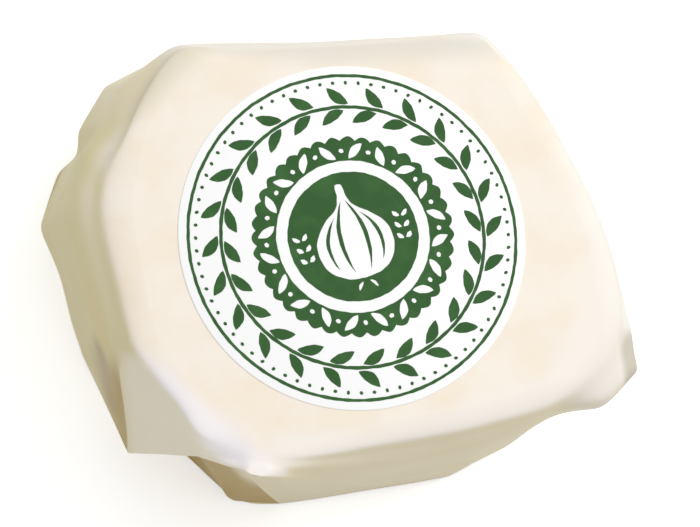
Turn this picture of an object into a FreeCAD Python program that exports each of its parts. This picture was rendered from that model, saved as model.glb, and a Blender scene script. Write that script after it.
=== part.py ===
"""Butter roll: a lump of butter folded into parchment like a parcel, with a round paper label on its face.

The pack lies on its folded side. +Z points out of the labelled face, +X runs along the longer side and the
origin is the middle of the pack's outline, on the surface that it rests on. Units are millimetres.

The parchment is one sheet round a solid lump, so wrap and butter are one solid. Its form is set by fold
lines that climb from the foot, over the wall and the shoulder, to the edge of the flat face. Where the
sheet's spare paper gathers at a corner, the wall stands out as a pointed ear whose lower edge hangs free.
"""

import FreeCAD, Part

import os
import Sketcher
from FreeCAD import Vector

PARTS_FOLDER = "parts"

# Alias, value in mm, and what it sets.
SIZES = (
    ("pack_length", 94.7, "outline of the pack along X, ears included"),
    ("pack_width", 87.3, "outline of the pack along Y, ears included"),
    ("pack_height", 43.0, "from the resting surface to the labelled face"),
    ("fold_depth", 0.8, "thickness of the folded paper under the pack"),
    ("ear_edge_height", 18.0, "height of the ears' free lower edge"),
    ("ear_undercut", 4.0, "how far below that edge the wall behind an ear starts"),
    ("shoulder_height", 8.5, "from the top of the wall up to the face"),
    ("shoulder_break", 2.6, "from the fold in the middle of the shoulder up to the face"),
    ("label_diameter", 61.5, "round label"),
    ("label_thickness", 0.2, "paper and glue of the label"),
    ("label_centre_x", 0.9, "middle of the label from the middle of the outline"),
    ("label_centre_y", -1.9, "middle of the label from the middle of the outline"),
)

# The fold lines, anticlockwise from the right ear. Each gives four places, in hundredths of the pack's
# length along X and of its width along Y: on the edge of the face, at the top of the wall, at the height of
# the ears' free edge, and at the foot.
FOLD_LINES = {
    "right_ear_tip": ((41.7, -39.9), (47.2, -42.9), (43.2, -40.5), (39.0, -37.6)),
    "right_wall_low": ((44.5, -31.3), (49.0, -31.3), (47.5, -31.3), (44.3, -30.2)),
    "right_wall": ((45.9, -12.6), (50.0, -11.5), (49.6, -12.0), (46.9, -13.0)),
    "right_wall_high": ((43.0, 9.3), (46.9, 11.2), (46.9, 10.5), (44.3, 9.3)),
    "far_right_turn": ((39.6, 21.4), (43.6, 23.8), (43.4, 24.0), (40.8, 21.4)),
    "far_right_bend": ((36.8, 27.0), (40.9, 30.7), (40.8, 31.0), (38.2, 27.6)),
    "far_right_corner": ((32.4, 30.6), (36.6, 34.0), (36.8, 34.0), (34.2, 31.0)),
    "far_wall": ((11.6, 35.0), (12.1, 39.6), (12.6, 40.3), (12.1, 37.4)),
    "far_wall_left": ((-10.6, 40.3), (-11.1, 45.8), (-11.7, 46.6), (-11.1, 43.1)),
    "far_left_corner": ((-19.8, 42.8), (-18.9, 47.1), (-17.5, 50.0), (-17.5, 46.0)),
    "slant_far": ((-28.0, 35.2), (-29.6, 41.8), (-29.8, 47.2), (-27.5, 43.1)),
    "slant_near": ((-32.8, 28.8), (-36.0, 35.1), (-35.2, 42.0), (-33.4, 38.0)),
    "notch": ((-36.0, 23.7), (-40.7, 30.5), (-40.9, 35.8), (-39.2, 33.4)),
    "left_bulge": ((-39.6, 13.3), (-46.5, 19.1), (-50.0, 21.9), (-46.0, 22.5)),
    "left_wall": ((-41.6, -2.7), (-47.0, -4.2), (-49.4, -5.0), (-46.3, -5.0)),
    "left_ear_tip": ((-41.2, -12.6), (-45.8, -12.0), (-46.8, -27.5), (-42.0, -17.6)),
    "left_ear_root": ((-39.8, -19.5), (-41.8, -24.0), (-34.8, -31.9), (-34.0, -27.6)),
    "left_ear_end": ((-36.8, -26.2), (-37.4, -33.2), (-32.6, -36.9), (-26.9, -41.3)),
    "under_ridge": ((-31.3, -35.2), (-31.2, -38.6), (-25.0, -41.3), (-18.8, -44.5)),
    "ridge_end": ((-25.6, -41.6), (-22.6, -44.4), (-17.8, -45.4), (-10.7, -45.9)),
    "near_wall_left": ((-6.4, -42.2), (-4.3, -46.8), (-3.2, -47.9), (-1.2, -47.2)),
    "near_wall": ((10.5, -43.8), (12.6, -48.5), (14.7, -50.0), (14.7, -49.4)),
    "near_wall_right": ((25.3, -44.4), (27.4, -47.9), (25.3, -48.3), (23.2, -47.4)),
    "right_ear_root": ((35.9, -43.9), (38.5, -47.9), (36.4, -45.1), (34.8, -43.4)),
}
FACE, WALL_TOP, EAR_EDGE, FOOT = range(4)

# Under the left ear, these fold lines hang free of the wall behind them.
HANGING_LINES = ("left_ear_tip", "left_ear_root")

# How far the paper has gone from one of its places to the next, from 0 to 1.
SHOULDER_REACH = 0.42    # at the fold in the middle of the shoulder, from the face to the top of the wall
LOW_WALL_REACH = 0.8     # on the low wall, from the foot to the height of the ears' edge
HANGING_REACH = 0.0      # the same behind a hanging fold line, where the wall rises straight from the foot

# The two ends of the sheet, tucked flat under the pack, in the same hundredths.
TUCKS = {
    "left_tuck": ((-43.5, 18.0), (-43.5, -6.0), (-36.0, -20.0), (-3.0, -3.0), (-3.0, 8.0), (-34.0, 31.0)),
    "right_tuck": ((42.0, -24.0), (44.0, -10.0), (41.5, 8.0), (3.0, 9.0), (3.0, -6.0)),
}


def make_sheet(doc):
    """The driving sizes, one row each: name, value with its alias, note."""
    sheet = doc.addObject("Spreadsheet::Sheet", "Sizes")
    for row, (alias, value, note) in enumerate(SIZES, start=1):
        sheet.set(f"A{row}", alias)
        sheet.set(f"B{row}", str(value))
        sheet.set(f"C{row}", note)
        sheet.setAlias(f"B{row}", alias)
    doc.recompute()


def level_plane(body):
    """The body's own XY plane."""
    return next(feature for feature in body.Origin.OriginFeatures if feature.Role == "XY_Plane")


def corners_at(level):
    """The outline through one place of every fold line."""
    return [places[level] for places in FOLD_LINES.values()]


def corners_between(start, end, reach, hanging_reach):
    """The outline part way from one place of every fold line to another."""
    corners = []
    for name, places in FOLD_LINES.items():
        share = hanging_reach if name in HANGING_LINES else reach
        corners.append(tuple(a + share * (b - a) for a, b in zip(places[start], places[end])))
    return corners


def outline_sketch(body, name, corners, height):
    """A closed outline through corners, in hundredths of the pack, on a level plane at height."""
    sketch = body.newObject("Sketcher::SketchObject", name)
    sketch.AttachmentSupport = [(level_plane(body), "")]
    sketch.MapMode = "FlatFace"
    sketch.setExpression("AttachmentOffset.Base.z", height)
    sizes = body.Document.Sizes
    points = [Vector(x * sizes.pack_length / 100, y * sizes.pack_width / 100, 0) for x, y in corners]
    count = len(points)
    for i in range(count):
        sketch.addGeometry(Part.LineSegment(points[i], points[(i + 1) % count]))
    origin, start, end = -1, 1, 2
    for i in range(count):
        sketch.addConstraint(Sketcher.Constraint("Coincident", i, end, (i + 1) % count, start))
    for i, (point, (x, y)) in enumerate(zip(points, corners)):
        for kind, place, share, side in (
            ("DistanceX", point.x, x, "pack_length"),
            ("DistanceY", point.y, y, "pack_width"),
        ):
            number = sketch.addConstraint(Sketcher.Constraint(kind, origin, start, i, start, place))
            sketch.setExpression(f"Constraints[{number}]", f"Sizes.{side} * {share} / 100")
    return sketch


def make_pack(doc):
    """Wrap and butter: one loft with straight folds between its outlines, and the tucked ends under it."""
    body = doc.addObject("PartDesign::Body", "wrapped_butter")
    body.Label = "wrapped_butter"
    low_wall = corners_between(FOOT, EAR_EDGE, LOW_WALL_REACH, HANGING_REACH)
    shoulder = corners_between(FACE, WALL_TOP, SHOULDER_REACH, SHOULDER_REACH)
    outlines = (
        ("foot_outline", corners_at(FOOT), "Sizes.fold_depth"),
        ("low_wall_outline", low_wall, "Sizes.ear_edge_height - Sizes.ear_undercut"),
        ("ear_edge_outline", corners_at(EAR_EDGE), "Sizes.ear_edge_height"),
        ("wall_top_outline", corners_at(WALL_TOP), "Sizes.pack_height - Sizes.shoulder_height"),
        ("shoulder_outline", shoulder, "Sizes.pack_height - Sizes.shoulder_break"),
        ("face_outline", corners_at(FACE), "Sizes.pack_height"),
    )
    sketches = [outline_sketch(body, *outline) for outline in outlines]
    doc.recompute()
    wrap = body.newObject("PartDesign::AdditiveLoft", "wrap")
    wrap.Profile = sketches[0]
    wrap.Sections = sketches[1:]
    wrap.Ruled = True
    doc.recompute()
    for name, corners in TUCKS.items():
        sketch = outline_sketch(body, f"{name}_outline", corners, "0 mm")
        doc.recompute()
        tuck = body.newObject("PartDesign::Pad", name)
        tuck.Profile = sketch
        tuck.setExpression("Length", "Sizes.fold_depth")
        doc.recompute()
    return body


def make_label(doc, pack):
    """The label: the layer between the wrap and the same wrap one label thickness higher, inside a round cut.

    It follows the wrap, whatever the label's size, and lies on it face to face.
    """
    punch = doc.addObject("Part::Cylinder", "label_punch")
    punch.setExpression("Radius", "Sizes.label_diameter / 2")
    punch.setExpression("Height", "Sizes.pack_height + 2 * Sizes.label_thickness")
    punch.setExpression("Placement.Base.x", "Sizes.label_centre_x")
    punch.setExpression("Placement.Base.y", "Sizes.label_centre_y")
    lifted = doc.addObject("Part::Feature", "lifted_wrap")
    lifted.Shape = pack.Shape.copy()
    lifted.setExpression("Placement.Base.z", "Sizes.label_thickness")
    disc = doc.addObject("Part::Common", "label_disc")
    disc.Base = lifted
    disc.Tool = punch
    label = doc.addObject("Part::Cut", "round_label")
    label.Label = "round_label"
    label.Base = disc
    label.Tool = pack
    doc.recompute()
    return label


def check(doc, parts):
    """Stops the build if a feature failed or a part has no valid solid."""
    for item in doc.Objects:
        if {"Invalid", "Error"} & set(item.State):
            raise RuntimeError(f"{item.Name} failed: {item.State}")
    for part in parts:
        if part.Shape.isNull() or not part.Shape.isValid() or len(part.Shape.Solids) != 1:
            raise RuntimeError(f"{part.Label} isn't one valid solid")


def write_parts(parts):
    """One STEP file for each part, named after it, and one printed line with its size."""
    os.makedirs(PARTS_FOLDER, exist_ok=True)
    for part in parts:
        part.Shape.exportStep(os.path.join(PARTS_FOLDER, f"{part.Label}.step"))
        box = part.Shape.BoundBox
        print(
            f"{part.Label}: {part.Shape.Volume / 1000:.2f} cm3, {len(part.Shape.Faces)} faces, "
            f"X {box.XMin:.2f} to {box.XMax:.2f}, Y {box.YMin:.2f} to {box.YMax:.2f}, "
            f"Z {box.ZMin:.2f} to {box.ZMax:.2f}"
        )


def main():
    doc = FreeCAD.newDocument("butter_roll")
    make_sheet(doc)
    pack = make_pack(doc)
    label = make_label(doc, pack)
    parts = (pack, label)
    check(doc, parts)
    write_parts(parts)


main()
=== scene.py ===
# %% [markdown]
# # Butter roll in parchment
# A lump of butter folded into a sheet of parchment like a parcel, with a round paper label stuck on its
# face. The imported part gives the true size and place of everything. This file builds the looks around it.

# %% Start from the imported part
import math

import bpy
import numpy as np
from mathutils import Matrix, Vector


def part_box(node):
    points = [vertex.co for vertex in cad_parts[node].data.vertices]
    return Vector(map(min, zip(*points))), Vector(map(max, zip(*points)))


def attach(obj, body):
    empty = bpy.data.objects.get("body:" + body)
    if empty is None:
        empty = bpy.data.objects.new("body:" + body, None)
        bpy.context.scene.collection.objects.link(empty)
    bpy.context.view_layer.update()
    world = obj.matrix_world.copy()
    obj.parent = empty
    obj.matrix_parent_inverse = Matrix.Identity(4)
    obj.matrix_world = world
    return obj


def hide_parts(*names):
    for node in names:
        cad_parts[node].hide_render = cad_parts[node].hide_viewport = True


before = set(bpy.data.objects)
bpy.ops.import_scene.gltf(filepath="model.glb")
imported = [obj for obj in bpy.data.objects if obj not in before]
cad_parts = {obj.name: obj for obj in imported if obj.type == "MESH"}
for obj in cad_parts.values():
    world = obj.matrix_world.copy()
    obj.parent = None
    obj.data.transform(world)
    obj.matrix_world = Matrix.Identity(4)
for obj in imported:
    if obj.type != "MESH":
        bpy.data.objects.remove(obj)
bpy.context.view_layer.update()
MM = 0.001

# %% [markdown]
# ## Camera
# The pack is seen nearly from above, from a little beyond its near left corner, and the camera is rolled so
# that its long side rises to the right. A long lens from 0.6 m keeps the round label round.

# %% Camera
CAMERA_DISTANCE = 0.6                    # m
CAMERA_LENS = 171.0                      # mm
CAMERA_TILT = math.radians(16.0)         # away from straight down
CAMERA_PLAN_ANGLE = math.radians(213.4)  # where the camera stands, seen from above
LONG_SIDE_RISE = math.radians(16.0)      # how far the long side turns anticlockwise in the view
AIM = Vector((3.9, -3.0, 22.0)) * MM


def add_camera():
    back = Vector((
        math.sin(CAMERA_TILT) * math.cos(CAMERA_PLAN_ANGLE),
        math.sin(CAMERA_TILT) * math.sin(CAMERA_PLAN_ANGLE),
        math.cos(CAMERA_TILT),
    ))
    up = (Vector((0, 0, 1)) - back * back.z).normalized()
    right = up.cross(back)
    roll = math.atan2(up.x, right.x) - LONG_SIDE_RISE
    right, up = (
        math.cos(roll) * right + math.sin(roll) * up,
        math.cos(roll) * up - math.sin(roll) * right,
    )
    place = AIM + back * CAMERA_DISTANCE
    bpy.ops.object.camera_add()
    camera = bpy.context.object
    camera.name = "camera"
    camera.matrix_world = Matrix.Translation(place) @ Matrix((right, up, back)).transposed().to_4x4()
    camera.data.lens = CAMERA_LENS
    camera.data.clip_start = 0.05
    bpy.context.scene.camera = camera
    print("camera at, mm:", [round(x / MM) for x in place])


bpy.ops.object.select_all(action="DESELECT")
add_camera()

# %% [markdown]
# ## Fold lines
# The paper goes round the butter in 24 folds that climb from the foot to the face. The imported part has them
# as straight edges between outlines at six heights. Reading the corners of five of those outlines back
# keeps the soft paper where the solid is. Only their heights are written here again.

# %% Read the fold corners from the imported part
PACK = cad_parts["wrapped_butter"]
FOLDS = 24
FOOT_Z, LOW_Z, EDGE_Z, WALL_TOP_Z, FACE_Z = 0.8, 14.0, 18.0, 34.5, 43.0    # mm
SAME_PLACE = 0.01                       # mm: corners closer than this are one corner
STRAIGHT = math.radians(0.05)           # an outline that turns less than this has no corner there
RIGHT_EAR_ANGLE = math.radians(-41)     # bearing of fold line 0


def at_height(place, height):
    return Vector((place.x, place.y, height))


def turn_at(before, here, after):
    return abs((here - before).angle_signed(after - here, 0))


def outline_at(height):
    """The 24 fold corners at one height, anticlockwise from the right ear, in mm."""
    corners = []
    for face in PACK.data.polygons:
        places = [PACK.data.vertices[i].co / MM for i in face.vertices]
        if max(p.z for p in places) > FOOT_Z + SAME_PLACE:    # not the underside or a tucked end
            for p in places:
                new_place = all((p.xy - q).length > SAME_PLACE for q in corners)
                if abs(p.z - height) < SAME_PLACE and new_place:
                    corners.append(p.xy)
    ring = sorted(corners, key=lambda p: math.atan2(p.y, p.x))
    ring = [p for i, p in enumerate(ring) if turn_at(ring[i - 1], p, ring[(i + 1) % len(ring)]) > STRAIGHT]
    first = min(range(len(ring)), key=lambda i: abs(math.atan2(ring[i].y, ring[i].x) - RIGHT_EAR_ANGLE))
    print("outline at", height, "mm:", len(ring), "corners")
    return [at_height(p, height) for p in ring[first:] + ring[:first]]


foot, low, edge, wall_top, face = [outline_at(z) for z in (FOOT_Z, LOW_Z, EDGE_Z, WALL_TOP_Z, FACE_Z)]
assert all(len(ring) == FOLDS for ring in (foot, low, edge, wall_top, face))

# %% [markdown]
# ## The rings of the wrap
# The wrap is a tube of 15 rings, each with one corner on every fold line, closed at the top and the bottom.
# The rings are worked out from the outlines. At the left ear the spare paper hangs free: there they follow
# the free edge as it climbs from the ear's tip to the shoulder, go round its thickness, and up into the gap
# behind it.

# %% The rings' names, heights and reach
(UNDER_INNER, UNDER_OUTER, FOOT, LOW, CAVITY, LIP, EDGE,
 MID, TOP, SHOULDER, FACE, RIM, INNER, LABEL, HEART) = range(15)
MID_Z, SHOULDER_RING_Z, FACE_RING_Z = 25.0, 40.2, 42.45    # mm
LABEL_LOW, LABEL_HIGH = [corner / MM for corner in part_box("round_label")]
LABEL_PLACE = (LABEL_LOW + LABEL_HIGH) / 2
LABEL_RADIUS = (LABEL_HIGH.x - LABEL_LOW.x) / 2
middle = at_height(LABEL_PLACE, 0)
# How far the flat face reaches over the shoulder before it turns down, on each fold line, from 0 to 1.
SHOULDER_REACH = (
    [0.45] + [0.42] * 9                                        # right ear tip, right wall, far wall
    + [0.35, 0.35, 0.5, 0.6, 0.6]                              # slanted corner, notch, left wall
    + [0.75] + [0.5] * 4 + [0.55, 0.6, 0.65, 0.6]              # left ear, near wall
)
print("label:", round(LABEL_RADIUS * 2, 2), "mm across, its middle at", [round(x, 2) for x in middle.xy])


# %% Ring by ring, from the underside to the middle of the face
def between(a, b, share):
    return [p.lerp(q, share) for p, q in zip(a, b)]


def scaled(ring, share, height):
    return [Vector((middle.x + (p.x - middle.x) * share, middle.y + (p.y - middle.y) * share, height))
            for p in ring]


def circle(radius, height):
    """One corner on each fold line's bearing from the label's middle."""
    corners = []
    for p in face:
        bearing = math.atan2(p.y - middle.y, p.x - middle.x)
        corners.append(middle + Vector((radius * math.cos(bearing), radius * math.sin(bearing), height)))
    return corners


def over_shoulder(ring_share, height):
    """A ring between the edge of the face and the top of the wall."""
    return [at_height(p.lerp(q, share * ring_share), height)
            for p, q, share in zip(face, wall_top, SHOULDER_REACH)]


rings = {                                # shares of an outline's size, or of the way between two outlines
    UNDER_INNER: scaled(foot, 0.45, FOOT_Z),
    UNDER_OUTER: scaled(foot, 0.9, FOOT_Z),
    FOOT: foot,
    LOW: between(foot, edge, 0.36),
    CAVITY: between(foot, edge, 0.62),
    LIP: between(foot, edge, 0.83),
    EDGE: edge,
    MID: between(edge, wall_top, (MID_Z - EDGE_Z) / (WALL_TOP_Z - EDGE_Z)),
    TOP: wall_top,
    SHOULDER: over_shoulder(1.0, SHOULDER_RING_Z),
    FACE: over_shoulder(0.5, FACE_RING_Z),
    RIM: scaled(face, 0.94, FACE_Z),
    INNER: scaled(face, 0.85, FACE_Z),
    LABEL: circle(LABEL_RADIUS * 0.75, FACE_Z),
    HEART: circle(LABEL_RADIUS * 0.4, FACE_Z),
}
rings = {name: [p.copy() for p in ring] for name, ring in rings.items()}

ROUNDER = (12, 13, 14, 20, 21, 22)       # fold lines of the left wall and the near wall
SHOULDER_DROP, FACE_DROP = 0.9, 0.4      # mm: there the two rings over the shoulder lie lower
for column in ROUNDER:
    rings[SHOULDER][column].z -= SHOULDER_DROP
    rings[FACE][column].z -= FACE_DROP
print("rings:", len(rings), "of", FOLDS, "corners")

# %% [markdown]
# ## The loose ears
# The left ear's free edge is given by the height of the paper on each of its fold lines; its place in plan
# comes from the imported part. Behind the edge the wall of butter is already further in, so the gap is real.
# The right ear stands out nearly level with the face.

# %% The free edge of the left ear
TIP, ROOT, END, RIDGE, RIDGE_END = EAR_FOLDS = (15, 16, 17, 18, 19)    # its fold lines
TO_VIEWER = Vector((math.tan(CAMERA_TILT) * math.cos(CAMERA_PLAN_ANGLE),
                    math.tan(CAMERA_TILT) * math.sin(CAMERA_PLAN_ANGLE), 1))
BEND_DOWN, BEND_Z = 0.15, 38.5                              # END: share of the way down the wall, and height
RIDGE_OUT, RIDGE_Z = Vector((-1.0, -1.0, 5.5)), 41.1        # from the top of the wall, mm
RIDGE_END_OUT, RIDGE_END_Z = Vector((-0.5, -2.1, 0)), 41.6  # from the edge of the face, mm


def raised(place, height):
    """The place at another height on the viewer's line of sight, so that the outline seen stays as it is."""
    return place + TO_VIEWER * (height - place.z)


free_edge = rings[EDGE]
free_edge[END] = raised(wall_top[END].lerp(edge[END], BEND_DOWN), BEND_Z)
free_edge[ROOT] = free_edge[TIP].lerp(free_edge[END], 0.5)
free_edge[RIDGE] = raised(wall_top[RIDGE] + RIDGE_OUT, RIDGE_Z)
free_edge[RIDGE_END] = at_height(face[RIDGE_END] + RIDGE_END_OUT, RIDGE_END_Z)
print("free edge, mm:", [[round(x, 1) for x in free_edge[column]] for column in EAR_FOLDS])

# %% Above, behind and below the free edge
# How far MID, TOP, SHOULDER and FACE are on the way from the free edge to the rim, in plan and in height.
CLIMB = {
    ROOT: ((0.2, 0.34), (0.39, 0.68), (0.53, 0.9), (0.68, 0.975)),
    END: ((0.09, 0.32), (0.19, 0.6), (0.33, 0.86), (0.58, 0.97)),
    RIDGE: ((0.16, 0.25), (0.32, 0.48), (0.5, 0.72), (0.74, 0.92)),
    RIDGE_END: ((0.2, 0.35), (0.4, 0.6), (0.6, 0.8), (0.8, 0.94)),
}
# How far the gap goes in behind the free edge, and how far it rises there, mm.
GAP = {TIP: (2.4, 3.5), ROOT: (3.5, 2.5), END: (0.9, 0.2), RIDGE: (0.7, -0.3), RIDGE_END: (0.5, -0.6)}
PAPER = 0.35                             # mm: doubled paper at the free edge
INWARD = Vector((0.62, 0.55, 0)).normalized()    # from the free edge towards the butter

for column, profile in CLIMB.items():
    start, goal = free_edge[column], rings[RIM][column]
    for ring, (in_plan, in_height) in zip((MID, TOP, SHOULDER, FACE), profile):
        rings[ring][column] = at_height(start.lerp(goal, in_plan), start.z + (goal.z - start.z) * in_height)
for column, (depth, rise) in GAP.items():
    rings[LIP][column] = free_edge[column] + INWARD * PAPER
    rings[CAVITY][column] = free_edge[column] + INWARD * depth + Vector((0, 0, rise))
for column in (TIP, ROOT):               # behind the ear the wall rises straight from the foot
    rings[LOW][column] = low[column]
for column in (END, RIDGE, RIDGE_END):   # and here the paper runs straight from the foot to the edge
    start, goal = rings[FOOT][column], free_edge[column]
    rings[LOW][column] = start.lerp(goal, (LOW_Z - FOOT_Z) / (goal.z - start.z))

# %% The right ear
RIGHT_EAR_Z = {0: (39.4, 41.8, 42.75), 23: (38.4, 41.6, 42.75)}   # fold line: heights of TOP, SHOULDER, FACE
RIGHT_EAR_SHARES = (0.4, 0.75)           # SHOULDER and FACE: how far on the way from TOP to the rim

for column, (top_z, *upper_z) in RIGHT_EAR_Z.items():
    top = raised(rings[TOP][column], top_z)
    rings[TOP][column] = top
    for ring, share, height in zip((SHOULDER, FACE), RIGHT_EAR_SHARES, upper_z):
        rings[ring][column] = at_height(top.lerp(rings[RIM][column], share), height)
    print("right ear, fold line", column, "mm:", [round(x, 1) for x in top])

# %% [markdown]
# ## Building the tube
# On a bench this is a cylinder pulled up ring by ring: a circle of 24 corners is extruded 14 times and
# capped. Each corner is then taken to its place. Working on a plain cylinder first makes it easy to tell,
# from height and bearing alone, which ring and which fold line a corner belongs to.

# %% A plain cage of 24 folds and 15 rings
def only(thing):
    """Select one object and nothing else."""
    if bpy.context.object and bpy.context.object.mode != "OBJECT":
        bpy.ops.object.mode_set(mode="OBJECT")
    bpy.ops.object.select_all(action="DESELECT")
    thing.select_set(True)
    bpy.context.view_layer.objects.active = thing


def build_cage():
    bpy.ops.object.select_all(action="DESELECT")
    bpy.ops.mesh.primitive_circle_add(vertices=FOLDS, radius=1, fill_type="NOTHING")
    cage = bpy.context.object
    cage.name = "parchment_wrap"
    bpy.ops.object.mode_set(mode="EDIT")
    bpy.ops.mesh.select_all(action="SELECT")
    bpy.ops.mesh.edge_face_add()
    for _ in range(len(rings) - 1):
        bpy.ops.mesh.extrude_region_move(TRANSFORM_OT_translate={"value": (0, 0, 1)})
    bpy.ops.mesh.select_all(action="SELECT")
    bpy.ops.mesh.normals_make_consistent(inside=False)
    bpy.ops.object.mode_set(mode="OBJECT")
    return cage


def address(corner):
    """Ring and fold line of a corner of the plain tube."""
    bearing = math.atan2(corner.y, corner.x) / math.tau * FOLDS
    return round(corner.z), round(bearing) % FOLDS


wrap = build_cage()
ADDRESS = [address(v.co) for v in wrap.data.vertices]
targets = np.array([rings[ring][column] for ring, column in ADDRESS]) * MM
print("cage:", len(wrap.data.vertices), "corners,", len(wrap.data.polygons), "faces")

# %% [markdown]
# ## Creases and subdivision
# Subdivision turns the cage into smooth paper. Folded paper isn't evenly smooth, though: a fold that was
# pressed is sharp, and fades where it runs out. Each edge's crease says how sharp. Subdivision also shrinks
# a cage, so the cage is pushed out a few times, until the smooth surface passes close by the fold corners
# themselves.

# %% Which folds are sharp
WALL_FOLD = {FACE: 0.1, SHOULDER: 0.3, TOP: 0.5} | dict.fromkeys((MID, EDGE, LIP, CAVITY, LOW), 0.6)
CREASE_DOWN = {                       # fold line: {upper ring: sharpness of the edge below it}
    TIP: {SHOULDER: 0.3, TOP: 0.9, MID: 1.0},
    END: {FACE: 0.1, SHOULDER: 0.2, TOP: 0.3, MID: 0.4, CAVITY: 0.3, LOW: 1.0},
    RIDGE: {FACE: 0.1, SHOULDER: 0.1, TOP: 0.1, MID: 0.1, CAVITY: 0.8, LOW: 1.0},
    RIDGE_END: {FACE: 0.0, SHOULDER: 0.0, TOP: 0.0, MID: 0.0, EDGE: 0.0, LIP: 0.0, CAVITY: 0.2, LOW: 0.5},
    0: {FACE: 0.25, SHOULDER: 0.6, TOP: 0.6},
    21: {TOP: 0.6, MID: 0.7} | dict.fromkeys((EDGE, LIP, CAVITY, LOW), 0.8),
    9: {TOP: 0.4} | dict.fromkeys((MID, EDGE, LIP, CAVITY, LOW), 0.5),
    6: {TOP: 0.3} | dict.fromkeys((MID, EDGE, LIP, CAVITY, LOW), 0.4),
}
CREASE_AROUND = {                     # ring: {first fold line: sharpness of the edge to the next}
    EDGE: {TIP: 1.0, ROOT: 1.0, END: 0.95, RIDGE: 0.3},
    LIP: {TIP: 1.0, ROOT: 1.0, END: 0.95, RIDGE: 0.3},
    SHOULDER: {TIP: 0.3, ROOT: 0.3},
    FOOT: {column: 1.0 if column in (ROOT, END) else 0.6 for column in range(FOLDS)},
}
PRESSED = 0.85                        # an edge creased more than this is also shaded as a sharp edge


# %% Crease the cage and write each corner's address on it
def sharpness(one, other):
    (ring_a, column_a), (ring_b, column_b) = sorted((one, other))
    if column_a == column_b:
        return CREASE_DOWN.get(column_a, {}).get(ring_b, WALL_FOLD.get(ring_b, 0.0))
    first = column_a if (column_a + 1) % FOLDS == column_b else column_b
    return CREASE_AROUND.get(ring_a, {}).get(first, 0.0)


def crease_cage(cage):
    creases = cage.data.attributes.new("crease_edge", "FLOAT", "EDGE")
    for e in cage.data.edges:
        creases.data[e.index].value = sharpness(*(ADDRESS[i] for i in e.vertices))
    pressed = cage.data.attributes.new("sharp_edge", "BOOLEAN", "EDGE")
    for crease, sharp in zip(creases.data, pressed.data):
        sharp.value = crease.value > PRESSED
    print("sharp edges:", sum(sharp.value for sharp in pressed.data))


def address_cage(cage):
    """Ring number and fold bearing on each corner; subdivision carries them over the whole surface."""
    for name, values in (
        ("ring", [ring for ring, _ in ADDRESS]),
        ("fold_x", [math.cos(column / FOLDS * math.tau) for _, column in ADDRESS]),
        ("fold_y", [math.sin(column / FOLDS * math.tau) for _, column in ADDRESS]),
    ):
        cage.data.attributes.new(name, "FLOAT", "POINT").data.foreach_set("value", values)


crease_cage(wrap)
address_cage(wrap)

# %% Smooth paper through the corners
LEVELS = 4
FITTING_ROUNDS = 8
PULL, HALF_PULL = 0.9, 0.4           # share of a miss made good in a round; all of it makes restless paper
LOOSE = {(ring, column) for ring in (CAVITY, LIP) for column in EAR_FOLDS}    # inside the gap: not pulled
HALF_LOOSE = {(EDGE, END), (EDGE, RIDGE), (EDGE, RIDGE_END)}


def pull_at(place):
    if place in LOOSE:
        return 0.0
    return HALF_PULL if place in HALF_LOOSE else PULL


def coordinates(mesh):
    flat = np.empty(len(mesh.vertices) * 3)
    mesh.vertices.foreach_get("co", flat)
    return flat.reshape(-1, 3)


def set_coordinates(mesh, places):
    mesh.vertices.foreach_set("co", places.ravel())
    mesh.update()


def smooth_paper(cage):
    only(cage)
    bpy.ops.object.modifier_add(type="SUBSURF")
    smoothing = cage.modifiers[-1]
    smoothing.levels = smoothing.render_levels = 1
    places = targets.copy()
    pull = np.array([pull_at(place) for place in ADDRESS])[:, None]
    for _ in range(FITTING_ROUNDS):
        set_coordinates(cage.data, places)
        seen = cage.evaluated_get(bpy.context.evaluated_depsgraph_get())
        reached = coordinates(seen.data)[: len(targets)]
        places += pull * (targets - reached)
    miss = abs(targets - reached)[pull[:, 0] == PULL].max() / MM
    print("furthest pulled corner from its place, mm:", round(float(miss), 2))
    smoothing.levels = smoothing.render_levels = LEVELS
    bpy.ops.object.modifier_apply(modifier=smoothing.name)
    bpy.ops.object.shade_smooth()


smooth_paper(wrap)
print("wrap:", len(wrap.data.vertices), "vertices")

# %% [markdown]
# ## Sculpting the paper
# Real parchment is never as even as a smoothed cage. What a sculptor would do with a grab and a crease
# brush is done here in code: a stroke is a path on the surface with a reach, and it moves the paper along
# its normal. The tip of the right ear is then folded down along a short crease.

# %% Strokes
def fade(values, none, full):
    """0 at none and before it, 1 at full and beyond it, and smooth between them."""
    x = np.clip((values - none) / (full - none), 0.0, 1.0)
    return x * x * (3 - 2 * x)


def read_attribute(mesh, name):
    values = np.empty(len(mesh.vertices))
    mesh.attributes[name].data.foreach_get("value", values)
    return values


def normals_of(mesh):
    flat = np.empty(len(mesh.vertices) * 3)
    mesh.vertex_normals.foreach_get("vector", flat)
    return flat.reshape(-1, 3)


def stroke(places, path):
    """How strongly a stroke acts at each place, 0 to 1. The path is points (x, y, z, reach) in mm."""
    strongest = np.zeros(len(places))
    for start, end in zip(path, path[1:]):
        start, end = np.array(start, float), np.array(end, float)
        along = end[:3] - start[:3]
        share = np.clip((places - start[:3]) @ along / (along @ along), 0, 1)
        reach = start[3] + share * (end[3] - start[3])
        away = np.linalg.norm(places - start[:3] - share[:, None] * along, axis=1)
        strongest = np.maximum(strongest, fade(away / reach, 1, 0))
    return strongest


places = coordinates(wrap.data) / MM
normals = normals_of(wrap.data)
ring_at = read_attribute(wrap.data, "ring")
fold_turn = np.arctan2(read_attribute(wrap.data, "fold_y"), read_attribute(wrap.data, "fold_x"))
fold_at = fold_turn / math.tau * FOLDS % FOLDS
print("height of the wrap, mm:", places[:, 2].min().round(2), "to", places[:, 2].max().round(2))

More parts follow.
